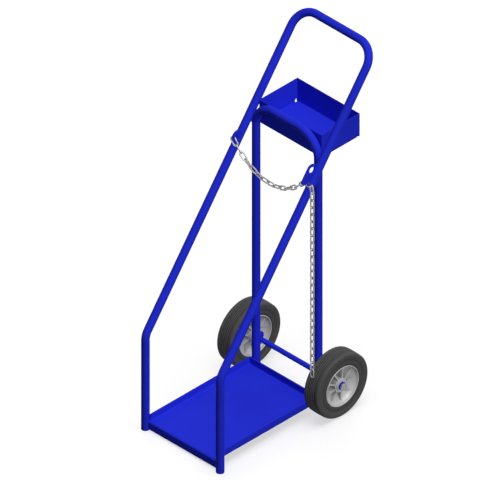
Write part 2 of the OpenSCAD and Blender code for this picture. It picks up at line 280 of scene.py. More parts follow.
@dataclass(frozen=True)
class TyreRubber:
    """Moulded grey rubber with fine bloom and painted shade in its grooves, about the wheel's own axis.
    """

    name: str
    centre: Point
    tread: Colour = (0.072, 0.072, 0.072)
    wall: Colour = (0.070, 0.070, 0.070)
    inner_wall: Colour = (0.060, 0.060, 0.061)
    bloom: Colour = (0.10, 0.099, 0.096)
    bloom_per_m: float = 38.0
    bloom_span: Span = (0.5, 0.8)
    bloom_share: float = 0.3
    # Painted shade: the dark colour that the floors of the tread's grooves take.
    groove_shade: Colour = (0.012, 0.012, 0.012)
    gloss: float = 0.07
    roughness: Span = (0.62, 0.82)
    haze_per_m: float = 120.0
    pebble_per_m: float = 1500.0
    pebble_share: float = 0.4
    pebble_depth: float = 0.06 * MM
    step_r: float = 85.0 * MM
    tread_r: float = 99.0 * MM
    groove_floor_r: float = 102.9 * MM
    groove_top_r: float = 104.2 * MM
    grooved_half: float = 15.0 * MM

    def material(self) -> Material:
        """Builds the node material.

        Returns:
            The rubber of one tyre.
        """
        shader = Shader(self.name, sum(self.roughness) / 2, 0.0, self.gloss)
        across = shader.placed(self.centre, (0, 1, 1))
        radius = shader.add("ShaderNodeVectorMath", {0: across}, operation="LENGTH").outputs["Value"]
        on_wall = shader.ranged(radius, (self.step_r - MM, self.step_r))
        past_wall = shader.ranged(radius, (self.tread_r, self.tread_r + MM))
        clean = shader.mixed(past_wall, shader.mixed(on_wall, self.inner_wall, self.wall), self.tread)
        dust = shader.noise(self.bloom_per_m, detail=5.0)
        dusty = shader.mixed(shader.ranged(dust, self.bloom_span, (0.0, self.bloom_share)),
                             clean, self.bloom)
        # Painted shade: the floors of the grooves on the tread turn dark.
        offset = shader.add("ShaderNodeSeparateXYZ", {0: shader.placed(self.centre)})
        from_middle = shader.math("ABSOLUTE", offset.outputs["X"])
        grooved = shader.math("LESS_THAN", from_middle, self.grooved_half)
        below = shader.ranged(radius, (self.groove_floor_r, self.groove_top_r), (1.0, 0.0))
        on_tread = shader.math("GREATER_THAN", radius, self.tread_r)
        groove_shade_mask = shader.math("MULTIPLY", shader.math("MULTIPLY", grooved, below), on_tread)
        shader.feed("Base Color", shader.mixed(groove_shade_mask, dusty, self.groove_shade))
        shader.haze(self.haze_per_m, self.roughness)
        shader.emboss(shader.noise(self.pebble_per_m, detail=3.0), self.pebble_share, self.pebble_depth)
        return shader.material


@dataclass(frozen=True)
class BareMetal:
    """Metal with a grain, from cast aluminium to zinc-plated wire."""

    name: str
    colour: Colour
    stain: Colour
    roughness: Span
    grain_per_m: float
    grain_depth: float
    grain_share: float = 0.5
    metallic: float = 1.0
    gloss: float = 0.5
    haze_per_m: float = 150.0
    stain_per_m: float = 60.0
    stain_swirl: float = 0.6
    stain_span: Span = (0.45, 0.75)
    # Painted shade: the dark colour that deep pockets turn to, and how far and how strongly it reaches.
    pocket_shade: Colour = (0.10, 0.10, 0.10)
    shade_reach: float = 0.0
    shade_span: Span = (0.25, 0.85)
    shade_share: float = 0.7

    def material(self) -> Material:
        """Builds the node material, with painted shade that darkens deep pockets where it has a reach
        for them.

        Returns:
            The metal.
        """
        shader = Shader(self.name, self.roughness[0], self.metallic, self.gloss)
        patches = shader.noise(self.stain_per_m, detail=5.0, distortion=self.stain_swirl)
        skin = shader.mixed(shader.ranged(patches, self.stain_span), self.colour, self.stain)
        # Painted shade: where ambient occlusion finds the surface shut in, the colour turns to the dark
        # pocket colour.
        if self.shade_reach:
            nook = shader.add("ShaderNodeAmbientOcclusion", {"Distance": self.shade_reach}, samples=8)
            painted_shade = shader.ranged(nook.outputs["AO"], self.shade_span, (self.shade_share, 0.0))
            skin = shader.mixed(painted_shade, skin, self.pocket_shade)
        shader.feed("Base Color", skin)
        shader.haze(self.haze_per_m, self.roughness)
        shader.emboss(shader.noise(self.grain_per_m, detail=4.0), self.grain_share, self.grain_depth)
        return shader.material


@dataclass
class Finishes:
    """Every material that pieces share, made once."""

    paint: Material = field(default_factory=Enamel().material)
    wire: Material = field(default_factory=BareMetal(
        "zinc_chain_wire", (0.34, 0.34, 0.335), (0.22, 0.22, 0.215), (0.3, 0.48),
        grain_per_m=900.0, grain_depth=0.05 * MM).material)
    # The hub's metal darkens its deep pockets with painted shade.
    cast: Material = field(default_factory=BareMetal(
        "cast_hub_metal", (0.48, 0.48, 0.48), (0.43, 0.43, 0.43), (0.42, 0.56),
        grain_per_m=1100.0, grain_depth=0.12 * MM, metallic=0.12, shade_reach=20 * MM).material)
    bronze: Material = field(default_factory=BareMetal(
        "sintered_bronze", (0.50, 0.36, 0.20), (0.36, 0.26, 0.15), (0.4, 0.55),
        grain_per_m=1400.0, grain_depth=0.05 * MM).material)
    cap: Material = field(default_factory=BareMetal(
        "pressed_cap_steel", (0.30, 0.30, 0.31), (0.22, 0.22, 0.23), (0.28, 0.4),
        grain_per_m=700.0, grain_depth=0.03 * MM).material)


def dress(node: str, material: Material) -> None:
    """Gives a carried-over piece its finish.

    Args:
        node: The piece's name.
        material: Its finish.
    """
    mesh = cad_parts[node].data
    mesh.materials.clear()
    mesh.materials.append(material)
    LOG.info("dressed %s with %s", node, material.name)


def new_object(name: str, mesh: bpy.types.Mesh) -> bpy.types.Object:
    """Links a mesh to the scene as an object at the origin.

    Args:
        name: The object's name.
        mesh: Its mesh.

    Returns:
        The object.
    """
    made = bpy.data.objects.new(name, mesh)
    bpy.context.scene.collection.objects.link(made)
    return made


def settle(piece: bpy.types.Object, body: Body, slot: Slot, *nodes: str) -> None:
    """Fixes a finished piece to its body.

    Args:
        piece: The piece, at its place.
        body: What it moves with.
        slot: Not used.
        *nodes: The carried-over pieces that it stands for.
    """
    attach(piece, body.value)
    if nodes:
        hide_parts(*nodes)
    LOG.info("made %s on %s: %d faces", piece.name, body.value, len(piece.data.polygons))


class Growth(Nodes):
    """A geometry tree with named inputs, whose result becomes a plain mesh."""

    def __init__(self, name: str, sizes: dict[str, float]) -> None:
        """Starts the tree.

        Args:
            name: The tree's name.
            sizes: Named inputs and their values.
        """
        super().__init__(bpy.data.node_groups.new(name, "GeometryNodeTree"))
        self.sizes = sizes
        face = self.tree.interface
        face.new_socket("Geometry", in_out="INPUT", socket_type="NodeSocketGeometry")
        self.sockets = {key: face.new_socket(key, in_out="INPUT", socket_type="NodeSocketFloat")
                        for key in sizes}
        self.sockets["Finish"] = face.new_socket(
            "Finish", in_out="INPUT", socket_type="NodeSocketMaterial")
        face.new_socket("Geometry", in_out="OUTPUT", socket_type="NodeSocketGeometry")
        self.start = self.tree.nodes.new("NodeGroupInput")
        self.end = self.tree.nodes.new("NodeGroupOutput")

    def size(self, name: str) -> Socket:
        """The socket of a named input."""
        return self.start.outputs[name]

    def swept(self, curve: Socket, sides: int, radius: Socket, capped: bool = False) -> Socket:
        """Sweeps a round section along a curve, at a radius that may change.

        Args:
            curve: The curve to follow.
            sides: Number of sides of the section.
            radius: Radius at each point.
            capped: Whether open ends are closed.

        Returns:
            The swept mesh.
        """
        ring = self.add("GeometryNodeCurvePrimitiveCircle", {"Resolution": sides, "Radius": 1.0})
        sweep = self.add("GeometryNodeCurveToMesh", {
            "Curve": curve, "Profile Curve": ring.outputs[0], "Scale": radius, "Fill Caps": capped})
        return sweep.outputs[0]

    def close(self, shape: Socket) -> None:
        """Ends the tree: smooth faces, plain geometry, and the finish.

        Args:
            shape: The grown shape.
        """
        smooth = self.add("GeometryNodeSetShadeSmooth", {"Geometry": shape})
        real = self.add("GeometryNodeRealizeInstances", {"Geometry": smooth.outputs[0]})
        done = self.add("GeometryNodeSetMaterial", {
            "Geometry": real.outputs[0], "Material": self.size("Finish")})
        self.link(done.outputs[0], self.end.inputs["Geometry"])

    def grow(self, name: str, seed: bpy.types.Mesh, finish: Material) -> bpy.types.Object:
        """Runs the tree on a seed mesh.

        Args:
            name: The new piece's name.
            seed: The mesh that the tree starts from.
            finish: The material that it sets.

        Returns:
            The piece, a plain mesh.
        """
        carrier = new_object(name + "_seed", seed)
        modifier = carrier.modifiers.new("grow", "NODES")
        modifier.node_group = self.tree
        for key, value in self.sizes.items():
            modifier[self.sockets[key].identifier] = value
        modifier[self.sockets["Finish"].identifier] = finish
        graph = bpy.context.evaluated_depsgraph_get()
        mesh = bpy.data.meshes.new_from_object(carrier.evaluated_get(graph))
        bpy.data.objects.remove(carrier)
        piece = new_object(name, mesh)
        mesh.name = name
        return piece


@dataclass
class Link:
    """Place of one chain link: its middle and its turn."""

    middle: Vector
    turn: Matrix


@dataclass
class Chain:
    """Welded steel chain, each link grown where the construction holds it."""

    wire_d: float = 4.6 * MM
    pitch: float = 25.2 * MM
    width: float = 16.6 * MM
    weld_half: float = 2.6 * MM
    weld_swell: float = 0.13
    wire_sides: int = 12
    # A bend's radius as a share of the width: at a half, the two bends of one end would meet.
    bend_share: float = 0.499
    bend_steps: int = 9
    outline_points: int = 52

    def tree(self) -> Growth:
        """Makes the tree that grows a welded link on each point.

        Returns:
            The tree.
        """
        grow = Growth("chain_links", {
            "Length": self.pitch + self.wire_d, "Width": self.width - self.wire_d,
            "Wire radius": self.wire_d / 2, "Weld half": self.weld_half, "Weld swell": self.weld_swell})
        box = grow.add("GeometryNodeCurvePrimitiveQuadrilateral", {
            "Width": grow.size("Length"), "Height": grow.size("Width")})
        bend = grow.math("MULTIPLY", grow.size("Width"), self.bend_share)
        oval = grow.add("GeometryNodeFilletCurve", {
            "Curve": box.outputs[0], "Count": self.bend_steps, "Radius": bend}, mode="POLY")
        fine = grow.add("GeometryNodeResampleCurve", {
            "Curve": oval.outputs[0], "Count": self.outline_points}, mode="COUNT")
        # The wire swells in a dome about the weld, in the middle of one long side.
        at = grow.add("ShaderNodeSeparateXYZ", {0: grow.add("GeometryNodeInputPosition").outputs[0]})
        near = grow.math("DIVIDE", at.outputs["X"], grow.size("Weld half"))
        dome = grow.math("MAXIMUM", grow.math("SUBTRACT", 1.0, grow.math("MULTIPLY", near, near)), 0.0)
        side = grow.math("GREATER_THAN", at.outputs["Y"], 0.0)
        swell = grow.math("MULTIPLY", grow.math("MULTIPLY", dome, side), grow.size("Weld swell"))
        radius = grow.math("MULTIPLY", grow.size("Wire radius"), grow.math("ADD", swell, 1.0))
        link = grow.swept(fine.outputs[0], self.wire_sides, radius)
        turn = grow.add("GeometryNodeInputNamedAttribute", {"Name": "turn"}, data_type="FLOAT_VECTOR")
        placed = grow.add("GeometryNodeInstanceOnPoints", {
            "Points": grow.start.outputs["Geometry"], "Instance": link,
            "Rotation": turn.outputs["Attribute"]})
        grow.close(placed.outputs[0])
        return grow

    @staticmethod
    def links_of(node: str) -> list[Link]:
        """Finds the place of each link of a carried-over piece from its own surface.

        Args:
            node: The piece's name.

        Returns:
            One place for each link.
        """
        solid = bmesh.new()
        solid.from_mesh(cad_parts[node].data)
        bmesh.ops.remove_doubles(solid, verts=solid.verts, dist=MERGE)
        met = set()
        links = []
        for start in solid.faces:
            if start in met:
                continue
            # Faces that hang together are one link.
            met.add(start)
            island = [start]
            for face in island:
                for other in (other for edge in face.edges for other in edge.link_faces):
                    if other not in met:
                        met.add(other)
                        island.append(other)
            areas = np.array([face.calc_area() for face in island])
            places = np.array([face.calc_center_median() for face in island])
            middle = areas @ places / areas.sum()
            # The surface spreads most along the link, and least through its thickness.
            spread = (places - middle).T @ ((places - middle) * areas[:, None])
            _, axes = np.linalg.eigh(spread)
            along, across = Vector(axes[:, 2]), Vector(axes[:, 1])
            facing = along.cross(across)
            links.append(Link(Vector(middle), Matrix((along, across, facing)).transposed()))
        solid.free()
        return links

    def build(self, finishes: Finishes) -> None:
        """Grows every stretch of the chain.

        Args:
            finishes: The cart's materials.
        """
        tree = self.tree()
        stretches = (("chain_anchor_link", Body.FRAME), ("chain_span", Body.SPAN),
                     ("chain_hook_link", Body.FRAME), ("chain_tail", Body.TAIL))
        for node, body in stretches:
            links = self.links_of(node)
            seed = bpy.data.meshes.new(node + "_seed")
            seed.from_pydata([link.middle for link in links], [], [])
            turns = seed.attributes.new("turn", "FLOAT_VECTOR", "POINT")
            for i, link in enumerate(links):
                turns.data[i].vector = link.turn.to_euler()
            piece = tree.grow(node + "_wire", seed, finishes.wire)
            settle(piece, body, Slot.STEEL, node)


def as_mesh(name: str, solid: bmesh.types.BMesh) -> bpy.types.Mesh:
    """Turns a built solid into a smooth mesh whose faces look outwards.

    Args:
        name: The mesh's name.
        solid: The solid, which is freed.

    Returns:
        The mesh.
    """
    bmesh.ops.recalc_face_normals(solid, faces=solid.faces)
    for face in solid.faces:
        face.smooth = True
    mesh = bpy.data.meshes.new(name)
    solid.to_mesh(mesh)
    solid.free()
    return mesh


def turned(name: str, outline: Outline, axis_y: float, axis_z: float,
           turns: int) -> bpy.types.Mesh:
    """Turns a closed outline about an axis along X.

    Args:
        name: The mesh's name.
        outline: Points as place along X and radius.
        axis_y: The axis's place along Y.
        axis_z: The axis's height.
        turns: Number of steps around.

    Returns:
        The closed mesh.
    """
    solid = bmesh.new()
    rings = []
    for i in range(turns):
        turn = 2 * math.pi * i / turns
        rings.append([solid.verts.new((x, axis_y + r * math.sin(turn), axis_z + r * math.cos(turn)))
                      for x, r in outline])
    count = len(outline)
    for i in range(turns):
        here, there = rings[i], rings[(i + 1) % turns]
        for j in range(count):
            k = (j + 1) % count
            solid.faces.new((here[j], here[k], there[k], there[j]))
    return as_mesh(name, solid)


@dataclass
class TyreShape:
    """Solid tyre turned about the axle: crowned tread with grooves, stepped side walls, beads."""

    axis_y: float
    axis_z: float
    low_x: float
    high_x: float
    tread_r: float
    seat_r: float
    shoulder_r: float = 6.0 * MM
    shoulder_steps: int = 12
    crown: float = 0.7 * MM
    groove_w: float = 1.8 * MM
    groove_depth: float = 1.8 * MM
    groove_pitch: float = 6.6 * MM
    groove_count: int = 5
    step_r: float = 85.0 * MM
    step: float = 1.3 * MM
    ring_r: float = 73.0 * MM
    ring_w: float = 1.6 * MM
    ring_h: float = 0.5 * MM
    round_r: float = 0.45 * MM
    turns: int = 144
    sharp: float = math.radians(50)

    def half_profile(self) -> Outline:
        """Outline of one half, from the middle of the tread to the bead.

        Returns:
            Points as distance from the tyre's middle plane and radius.
        """
        half = (self.high_x - self.low_x) / 2
        flat = half - self.shoulder_r
        edge, c = self.groove_w / 2, self.round_r

        def crowned(x: float) -> float:
            """Radius of the tread at a distance from the middle plane."""
            return self.tread_r - self.crown * (x / flat) ** 2

        # Half of the middle groove is here, and the whole of each further one.
        points = [(0.0, crowned(0) - self.groove_depth)]
        for i in range(self.groove_count // 2 + 1):
            centre = i * self.groove_pitch
            left, right = centre - edge, centre + edge
            floor = crowned(centre) - self.groove_depth
            if i:
                points += [(left - c, crowned(left)), (left, crowned(left) - c),
                           (left, floor + c), (left + c, floor)]
            points += [(right - c, floor), (right, floor + c),
                       (right, crowned(right) - c), (right + c, crowned(right))]
        centre_r = crowned(flat) - self.shoulder_r
        for i in range(1, self.shoulder_steps + 1):
            turn = math.radians(90 * i / self.shoulder_steps)
            points.append((flat + self.shoulder_r * math.sin(turn),
                           centre_r + self.shoulder_r * math.cos(turn)))
        low = half - self.step
        points += [(half, self.step_r + 3 * c), (half - c, self.step_r + c),
                   (low + c, self.step_r), (low, self.step_r - 2 * c)]
        for k, lift in ((1, 0.0), (0.5, self.ring_h), (-0.5, self.ring_h), (-1, 0.0)):
            points.append((low + lift, self.ring_r + k * self.ring_w))
        points += [(low, self.seat_r + 3 * c), (low - c, self.seat_r + c), (low - 2 * c, self.seat_r)]
        return points

    def build(self, name: str, body: Body, finish: Material, node: str) -> None:
        """Turns the outline into the tyre.

        Args:
            name: The piece's name.
            body: The wheel that it rides on.
            finish: Its rubber.
            node: The carried-over tyre that it stands for.
        """
        middle = (self.high_x + self.low_x) / 2
        half = self.half_profile()
        outline = [(middle - x, r) for x, r in reversed(half[1:])] + [(middle + x, r) for x, r in half]
        mesh = turned(name, outline, self.axis_y, self.axis_z, self.turns)
        mesh.set_sharp_from_angle(angle=self.sharp)
        mesh.materials.append(finish)
        settle(new_object(name, mesh), body, Slot.RUBBER, node)


@dataclass
class HubShape:
    """Cast hub: thin rim, a bowl on both faces, a stepped boss, and ribs that cross both bowls."""

    outward: int
    middle_x: float
    axis_y: float
    axis_z: float
    boss_in: float
    boss_out: float
    seat_r: float
    rim_half: float = 28.3 * MM
    lip_w: float = 2.8 * MM
    bowl: float = 27.0 * MM
    bowl_steps: int = 14
    boss_r: float = 23.0 * MM
    step_r: float = 18.0 * MM
    step: float = 2.4 * MM
    bore_r: float = 11.0 * MM
    round_r: float = 0.8 * MM
    rib_count: int = 9
    rib_phase: float = math.radians(-15)
    rib_w: float = 4.2 * MM
    # Thickness of a rib at the middle plane, and what it loses to the rim's edge, as shares of rib_w.
    rib_middle: float = 1.25
    rib_taper: float = 0.5
    # A crest on each face: how far below the rim's edge it starts, and the radius where it ends.
    rib_out: Span = (9.0 * MM, 56.5 * MM)
    rib_in: Span = (4.5 * MM, 59.0 * MM)
    # How far a crest's end runs into the bowl, inwards and towards the rim.
    rib_foot: Span = (2.0 * MM, 1.0 * MM)
    turns: int = 144
    sharp: float = math.radians(40)

    def depth(self, radius: float) -> float:
        """Depth of the bowl under the rim's edge, at a radius."""
        return self.bowl * math.sqrt(max(0.0, 1 - (radius / (self.seat_r - self.lip_w)) ** 2))

    def face(self, boss: float, stepped: bool) -> Outline:
        """Outline of one face, from the bore's end to the rim's edge.

        Args:
            boss: Distance of the boss's end from the middle plane.
            stepped: Whether the boss's end has a step.

        Returns:
            Points as distance from the middle plane and radius.
        """
        c = self.round_r
        points = [(boss, self.bore_r)]
        top = boss
        if stepped:
            top = boss - self.step
            points += [(boss, self.step_r - c), (boss - c, self.step_r), (top, self.step_r)]
        points += [(top, self.boss_r - c), (top - c, self.boss_r)]
        rim_in = self.seat_r - self.lip_w
        for i in range(self.bowl_steps + 1):
            share = math.sin(math.radians(90 * i / self.bowl_steps))
            radius = self.boss_r + (rim_in - self.boss_r) * share
            points.append((self.rim_half - c - self.depth(radius), radius))
        points += [(self.rim_half, rim_in + c), (self.rim_half, self.seat_r - c),
                   (self.rim_half - c, self.seat_r)]
        return points

    def rib(self) -> bpy.types.Mesh:
        """One rib through the web, standing up from the axle, tapered to its two crests.

        Returns:
            The closed mesh.
        """
        start = (self.bore_r + self.boss_r) / 2
        crests = []
        for below, tip_r in (self.rib_out, self.rib_in):
            crest, tip = self.rim_half - below, self.rim_half - self.depth(tip_r) - self.round_r
            crests.append([(crest, start), (crest, self.boss_r), (tip, tip_r),
                           (tip - self.rib_foot[0], tip_r + self.rib_foot[1])])
        outline = [(self.outward * x, r) for x, r in crests[0]]
        outline += [(-self.outward * x, r) for x, r in reversed(crests[1])]
        solid = bmesh.new()
        flanks = []
        for flank in (-1, 1):
            corners = []
            for x, r in outline:
                share = self.rib_middle - self.rib_taper * abs(x) / self.rim_half
                corners.append(solid.verts.new((x, flank * self.rib_w / 2 * share, r)))
            solid.faces.new(corners)
            flanks.append(corners)
        for i in range(len(outline)):
            k = (i + 1) % len(outline)
            solid.faces.new((flanks[0][i], flanks[0][k], flanks[1][k], flanks[1][i]))
        return as_mesh("rib", solid)

    def tree(self, body: bpy.types.Object) -> Growth:
        """The tree that repeats the rib about the axle and joins the ribs to the turned body.

        Args:
            body: The hub without its ribs.

        Returns:
            The tree.
        """
        grow = Growth("hub_ribs", {
            "Rib Count": self.rib_count, "Phase": self.rib_phase,
            "Middle X": self.middle_x, "Axis Y": self.axis_y, "Axis Z": self.axis_z})
        count = grow.size("Rib Count")
        at = grow.add("ShaderNodeCombineXYZ", {
            0: grow.size("Middle X"), 1: grow.size("Axis Y"), 2: grow.size("Axis Z")})
        points = grow.add("GeometryNodePoints", {"Count": count, "Position": at.outputs[0]})
        share = grow.math("DIVIDE", grow.add("GeometryNodeInputIndex").outputs[0], count)
        turn = grow.math("ADD", grow.math("MULTIPLY", share, 2 * math.pi), grow.size("Phase"))
        spin = grow.add("ShaderNodeCombineXYZ", {0: turn})
        ribs = grow.add("GeometryNodeInstanceOnPoints", {
            "Points": points.outputs[0], "Instance": grow.start.outputs["Geometry"],
            "Rotation": spin.outputs[0]})
        real = grow.add("GeometryNodeRealizeInstances", {"Geometry": ribs.outputs[0]})
        core = grow.add("GeometryNodeObjectInfo", {"Object": body})
        joined = grow.add("GeometryNodeMeshBoolean", operation="UNION", solver="EXACT")
        for part in (real.outputs[0], core.outputs["Geometry"]):
            grow.link(part, joined.inputs["Mesh 2"])
        grow.close(joined.outputs["Mesh"])
        return grow

    def build(self, name: str, body: Body, finish: Material, node: str) -> None:
        """Turns the hub, joins its ribs and settles it.

        Args:
            name: The piece's name.
            body: The wheel that it rides on.
            finish: Its metal.
            node: The carried-over hub that it stands for.
        """
        outer = self.face(self.boss_out, True)
        inner = [(-x, r) for x, r in self.face(self.boss_in, False)]
        outline = [(self.middle_x + self.outward * x, r) for x, r in outer + inner[::-1]]
        plain = turned(name + "_core", outline, self.axis_y, self.axis_z, self.turns)
        core = new_object(plain.name, plain)
        made = self.tree(core).grow(name, self.rib(), finish)
        bpy.data.objects.remove(core)
        made.data.set_sharp_from_angle(angle=self.sharp)
        settle(made, body, Slot.HUB, node)


@dataclass
class Wheel:
    """One wheel: tyre, hub, bush and what holds it on the axle."""

    side: Side
    body: Body

    def build(self, finishes: Finishes) -> None:
        """Makes the tyre and the hub, and dresses the wheel's other pieces.

        Args:
            finishes: The cart's materials.
        """
        side = self.side.value
        low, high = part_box(f"{side}_tyre")
        hub_low, hub_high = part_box(f"{side}_hub")
        bush_low, bush_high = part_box(f"{side}_bush")
        middle_x, axis_y, axis_z = (low.x + high.x) / 2, (low.y + high.y) / 2, (low.z + high.z) / 2
        tread_r = min(high.y - low.y, high.z - low.z) / 2
        seat_r = (hub_high.z - hub_low.z) / 2
        rubber = TyreRubber(f"{side}_tyre_rubber", (middle_x, axis_y, axis_z)).material()
        TyreShape(axis_y, axis_z, low.x, high.x, tread_r, seat_r).build(
            f"{side}_tyre_rubber", self.body, rubber, f"{side}_tyre")
        # The boss reaches as far as the bush in it, which stands out more on the inner side.
        ends = (abs(bush_low.x - middle_x), abs(bush_high.x - middle_x))
        HubShape(self.side.sign, middle_x, axis_y, axis_z, max(ends), min(ends), seat_r).build(
            f"{side}_hub_casting", self.body, finishes.cast, f"{side}_hub")
        dress(f"{side}_bush", finishes.bronze)
        dress(f"{side}_washer", finishes.wire)
        dress(f"{side}_collar", finishes.paint)
        dress(f"{side}_axle_cap", finishes.cap)


@dataclass
class Seam:
    """One run of weld: its points and its bead's radius."""

    points: list[Point]
    radius: float


@dataclass
class Welds:
    """Fillet welds that join the frame, under the same paint."""

    # The tubes and plates as the construction has them.
    tube_r: float = 12.7 * MM
    lean: float = math.radians(36.7)
    bend_z: float = 330.0 * MM
    plate_t: float = 4.0 * MM
    lug_in: float = 7.0 * MM
    # A bead: how finely it is made, its ripples, its wander, and how it opens from its ends.
    bead_step: float = 0.5 * MM
    bead_sides: int = 8
    ripple_pitch: float = 2.2 * MM
    ripple: float = 0.12
    wander: float = 0.35 * MM
    wander_per_m: float = 160.0
    end_steepness: float = 14.0
    end_share: float = 0.25
    # From a tube's middle line to the bead beside it, where the tube lies on a sheet.
    valley: float = 6.0 * MM
    # Deck: the rear bead's foot, the side bead's run, the gap above both, and how far off they lie.
    deck_bead: float = 1.7 * MM
    deck_foot: float = 26.0 * MM
    deck_run: float = 24.0 * MM
    deck_end: float = 1.5 * MM
    deck_off: Span = (0.9 * MM, 1.0 * MM)
    # Side tubes across the uprights, and uprights on the axle: half lengths, and distances off.
    tube_bead: float = 1.9 * MM
    cross_half: float = 21.0 * MM
    cross_off: float = 0.15 * MM
    axle_half: float = 8.5 * MM
    axle_off: float = 0.1 * MM
    # Gussets: a bead's place off their middle plane and the axle, its rise and its run to the rear.
    gusset_bead: float = 1.3 * MM
    gusset_half: float = 3.6 * MM
    gusset_off: float = 0.9 * MM
    gusset_lift: Span = (0.3 * MM, 0.4 * MM)
    gusset_rise: float = 17.0 * MM
    gusset_run: float = 12.5 * MM
    # Tray: short beads along the straight of the top bar, placed by shares of its half length.
    tray_bead: float = 1.8 * MM
    tray_half: float = 9.0 * MM
    tray_off: float = 1.1 * MM
    tray_places: tuple[float, ...] = (-0.62, 0.0, 0.62)
    bar_bend: float = 76.0 * MM
    # The chain's plates: the stretches of the side tubes that they stand on.
    plate_bead: float = 1.5 * MM
    plate_off: float = 0.9 * MM
    plate_lift: float = 0.7 * MM
    lug_run: Span = (622.5 * MM, 657.5 * MM)
    hook_run: Span = (614.5 * MM, 681.5 * MM)

    def tree(self) -> Growth:
        """Makes the tree that lays a rippled bead along each seam.

        Returns:
            The tree.
        """
        grow = Growth("weld_bead", {
            "Ripple pitch": self.ripple_pitch, "Ripple": self.ripple, "Wander": self.wander})
        path = grow.add("GeometryNodeMeshToCurve", {"Mesh": grow.start.outputs["Geometry"]})
        fine = grow.add("GeometryNodeResampleCurve", {
            "Curve": path.outputs[0], "Length": self.bead_step}, mode="LENGTH")
        spline = grow.add("GeometryNodeSplineParameter")
        ripples = grow.math("DIVIDE", spline.outputs["Length"], grow.size("Ripple pitch"))
        wave = grow.math("SINE", grow.math("MULTIPLY", ripples, 2 * math.pi))
        swing = grow.math("ADD", grow.math("MULTIPLY", wave, grow.size("Ripple")), 1.0)
        factor = spline.outputs["Factor"]
        to_end = grow.math("MINIMUM", factor, grow.math("SUBTRACT", 1.0, factor))
        rising = grow.math("POWER", grow.math("MULTIPLY", to_end, self.end_steepness), 0.5)
        taper = grow.math("MINIMUM", grow.math("ADD", rising, self.end_share), 1.0)
        size = grow.add("GeometryNodeInputNamedAttribute", {"Name": "bead"}, data_type="FLOAT")
        radius = grow.math("MULTIPLY", grow.math("MULTIPLY", size.outputs["Attribute"], swing), taper)
        grain = grow.add("ShaderNodeTexNoise", {
            "Vector": grow.add("GeometryNodeInputPosition").outputs[0],
            "Scale": self.wander_per_m, "Detail": 2.0})
        centred = grow.add("ShaderNodeVectorMath", {
            0: grain.outputs["Color"], 1: (0.5, 0.5, 0.5)}, operation="SUBTRACT")
        shift = grow.add("ShaderNodeVectorMath", {
            0: centred.outputs[0], "Scale": grow.size("Wander")}, operation="SCALE")
        moved = grow.add("GeometryNodeSetPosition", {
            "Geometry": fine.outputs[0], "Offset": shift.outputs[0]})
        grow.close(grow.swept(moved.outputs[0], self.bead_sides, radius, capped=True))
        return grow

    def front_y(self) -> float:
        """Where the front legs stand."""
        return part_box("handle_frame")[0].y + self.tube_r

    def leg_x(self) -> float:
        """Distance of the legs and side tubes from the cart's middle plane."""
        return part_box("handle_frame")[1].x - self.tube_r

    def upright(self) -> tuple[float, float]:
        """Distance of the uprights from the middle plane, and their place along Y."""
        low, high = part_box("back_frame")
        return high.x - self.tube_r, (low.y + high.y) / 2

    def on_tube(self, x: float, run: float, out: float) -> Point:
        """A place by a side tube.

        Args:
            x: Across the cart.
            run: Along the tube from the leg's bend.
            out: Towards the front from the tube's middle line.

        Returns:
            The point.
        """
        return (x, self.front_y() + run * math.sin(self.lean) - out * math.cos(self.lean),
                self.bend_z + run * math.cos(self.lean) + out * math.sin(self.lean))

    def deck_seams(self, side: int) -> list[Seam]:
        """Welds of the deck's rear lip to an upright, and of its side lip to a leg.

        Args:
            side: -1 on the left and 1 on the right.

        Returns:
            The seams.
        """
        low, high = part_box("platform")
        top = high.z - self.deck_end
        seams = []
        for off in (-self.valley, self.valley):
            x, y = side * self.upright()[0] + off, high.y + self.deck_off[1]
            seams.append(Seam([(x, y, low.z + self.deck_foot), (x, y, top)], self.deck_bead))
        x, y = side * (high.x + self.deck_off[0]), self.front_y() + self.valley
        seams.append(Seam([(x, y, high.z - self.deck_run), (x, y, top)], self.deck_bead))
        return seams

    def crossing_seam(self, side: int) -> Seam:
        """Weld where a sloped side tube passes an upright.

        Args:
            side: -1 on the left and 1 on the right.

        Returns:
            The seam, which lies halfway between the two tubes' directions.
        """
        back_y = self.upright()[1]
        cross_z = self.bend_z + (back_y - self.front_y()) / math.tan(self.lean)
        x = side * (self.leg_x() - self.tube_r - self.cross_off)
        return Seam([(x, back_y + k * self.cross_half * math.sin(self.lean / 2),
                      cross_z + k * self.cross_half * math.cos(self.lean / 2))
                     for k in (-1, 0, 1)], self.tube_bead)

    def axle_seams(self, side: int) -> list[Seam]:
        """Welds of an upright to the axle, and of the gusset's two faces to both.

        Args:
            side: -1 on the left and 1 on the right.

        Returns:
            The seams.
        """
        low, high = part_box("axle")
        back_x, axle_z = side * self.upright()[0], (low.z + high.z) / 2
        rise_y, top = low.y + self.gusset_off, high.z + self.gusset_lift[0]
        seams = []
        for tilt in (-1, 1):
            seams.append(Seam([(back_x + k * self.axle_half, low.y - self.axle_off,
                                axle_z + tilt * k * self.axle_half)
                               for k in (-1, 0, 1)], self.tube_bead))
            x = back_x + tilt * self.gusset_half
            seams.append(Seam([(x, rise_y, top + self.gusset_rise), (x, rise_y, top),
                               (x, low.y + self.gusset_run, top + self.gusset_lift[1])],
                              self.gusset_bead))
        return seams

    def tray_seams(self) -> list[Seam]:
        """Welds of the tray's front wall to the back frame's top bar.

        Returns:
            The seams.
        """
        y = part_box("tool_tray")[0].y - self.tray_off
        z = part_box("back_frame")[1].z - self.tube_r - self.valley
        places = [share * (self.upright()[0] - self.bar_bend) for share in self.tray_places]
        return [Seam([(x - self.tray_half, y, z), (x + self.tray_half, y, z)], self.tray_bead)
                for x in places]

